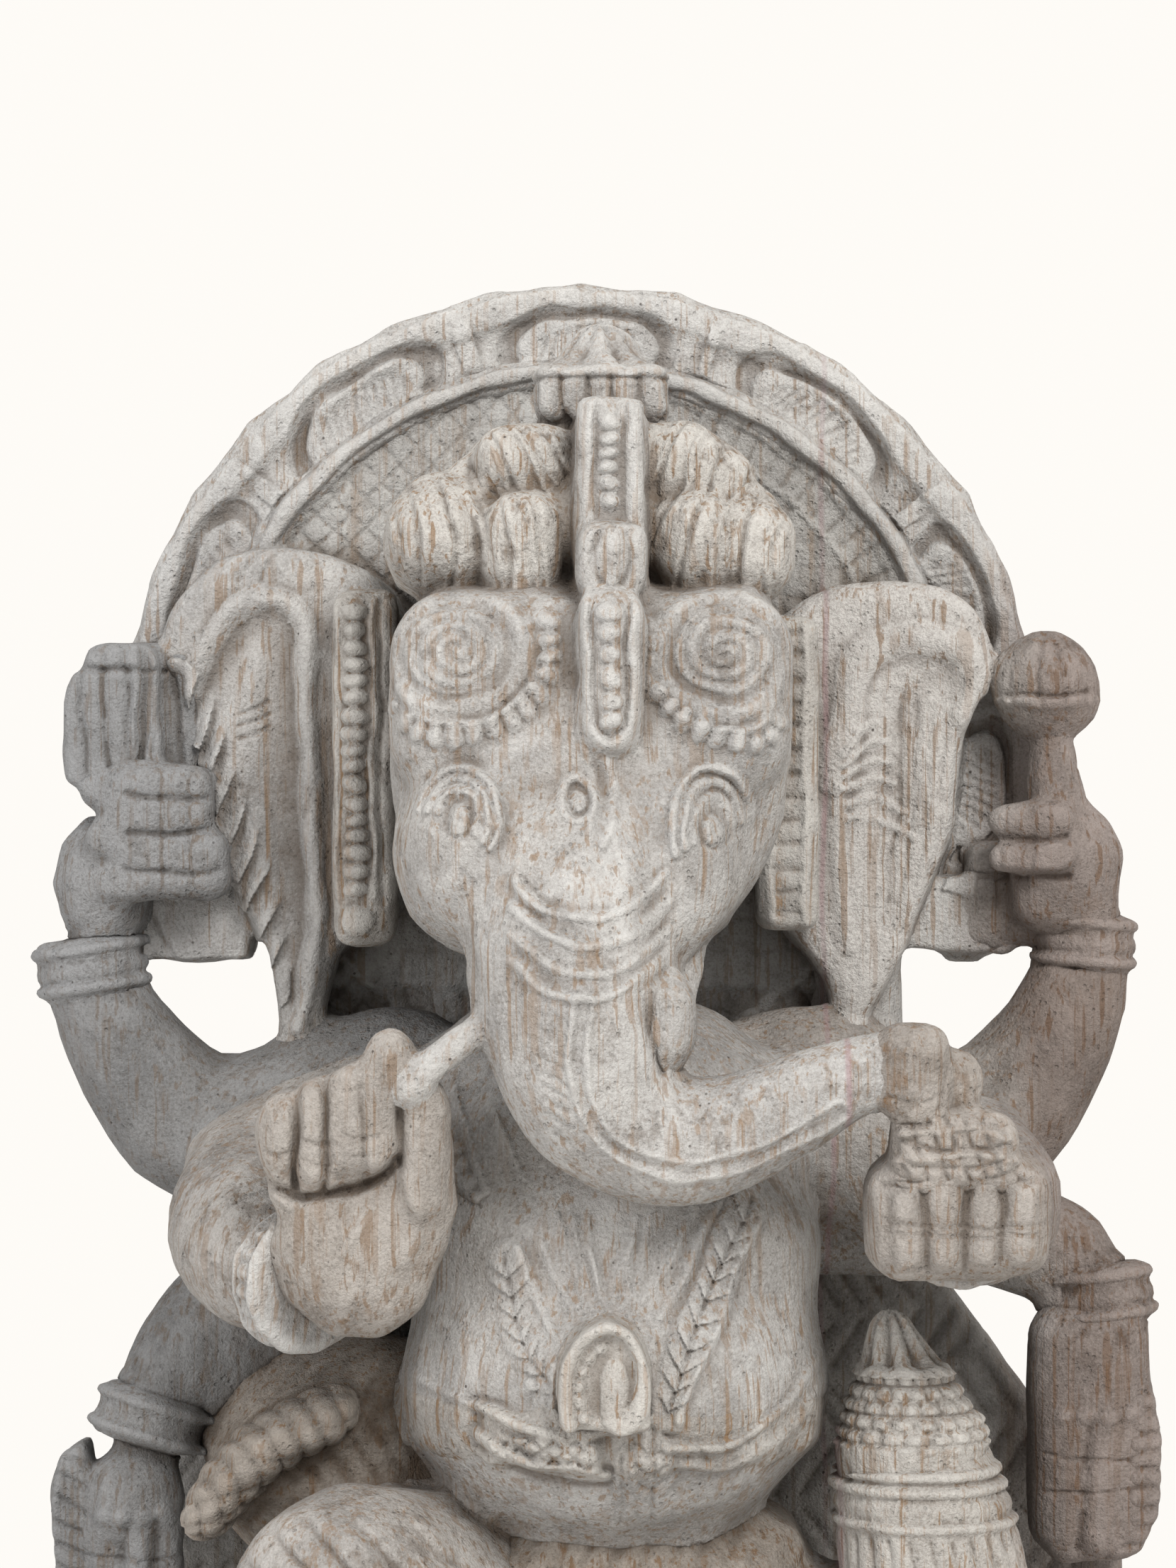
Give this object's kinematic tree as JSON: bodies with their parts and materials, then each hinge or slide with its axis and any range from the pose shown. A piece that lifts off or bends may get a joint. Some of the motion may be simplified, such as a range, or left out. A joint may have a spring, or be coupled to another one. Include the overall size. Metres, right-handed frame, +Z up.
{
  "type": "ganesha idol",
  "caption": "Seated elephant-headed deity with raised hands, round belly and curled trunk before a tall carved halo, on a lotus seat and plinth, in veined pale sandstone.",
  "frame": {"origin": "centre of the plinth's flat underside", "axes": "+Z up, the figure faces -Y, +X to the viewer's right"},
  "size_m": [0.305, 0.19, 0.4551],
  "materials": {
    "stone_pale": "fine-grained pale ivory-grey sandstone, hand carved, matt, with rust streaks",
    "stone_warm": "the same sandstone where the carving is fine and ochre dust stays in the recesses",
    "stone_mauve": "the mauve-brown band of the same block, matt, with ochre veins",
    "stone_cool": "the cool grey band of the same block, matt, with vertical veins",
    "stone_back": "the same sandstone left from a coarser tool, matt and slightly darker"
  },
  "bodies": {
    "root": {"plinth": "stone_back", "trunk_root": "stone_pale", "trunk_curl": "stone_pale", "brow_pendant": "stone_pale", "crown_knob": "stone_pale", "crown_strip": "stone_pale", "crown_finial": "stone_pale", "tusk_stub": "stone_pale", "hair_upper_left": "stone_warm", "hair_upper_right": "stone_warm", "hair_lower_left": "stone_warm", "hair_lower_right": "stone_warm", "head": "stone_pale", "crown_core": "stone_warm", "broken_tusk": "stone_pale", "sweets": "stone_mauve", "sweet_bowl": "stone_mauve", "bracelet_front_left": "stone_pale", "hand_front_left": "stone_pale", "bracelet_front_right": "stone_mauve", "hand_front_right": "stone_mauve", "waist_buckle": "stone_warm", "belly": "stone_pale", "waist_band": "stone_warm", "arm_front_left": "stone_pale", "arm_front_right": "stone_mauve", "chest": "stone_pale", "leg_left": "stone_pale", "leg_right": "stone_mauve", "lotus_seat": "stone_back", "foot_left": "stone_pale", "foot_right": "stone_mauve", "pot_lid": "stone_warm", "pot": "stone_warm", "reed_block": "stone_cool", "lotus_bud": "stone_mauve", "bracelet_upper_left": "stone_cool", "hand_upper_left": "stone_cool", "arm_upper_left": "stone_cool", "bracelet_upper_right": "stone_mauve", "hand_upper_right": "stone_mauve", "arm_upper_right": "stone_mauve", "bracelet_lower_left": "stone_cool", "hand_lower_left": "stone_cool", "arm_lower_left": "stone_cool", "bracelet_lower_right": "stone_mauve", "ridged_tablet": "stone_mauve", "hand_lower_right": "stone_mauve", "arm_lower_right": "stone_mauve", "leaf_blade": "stone_cool", "hips": "stone_warm", "lap_garland": "stone_warm", "lappet_left": "stone_warm", "lappet_right": "stone_warm", "ear_left": "stone_pale", "ear_right": "stone_mauve", "halo_ring": "stone_pale", "halo_disc": "stone_back", "halo_border": "stone_pale", "back_slab": "stone_back"}
  },
  "joints": []
}
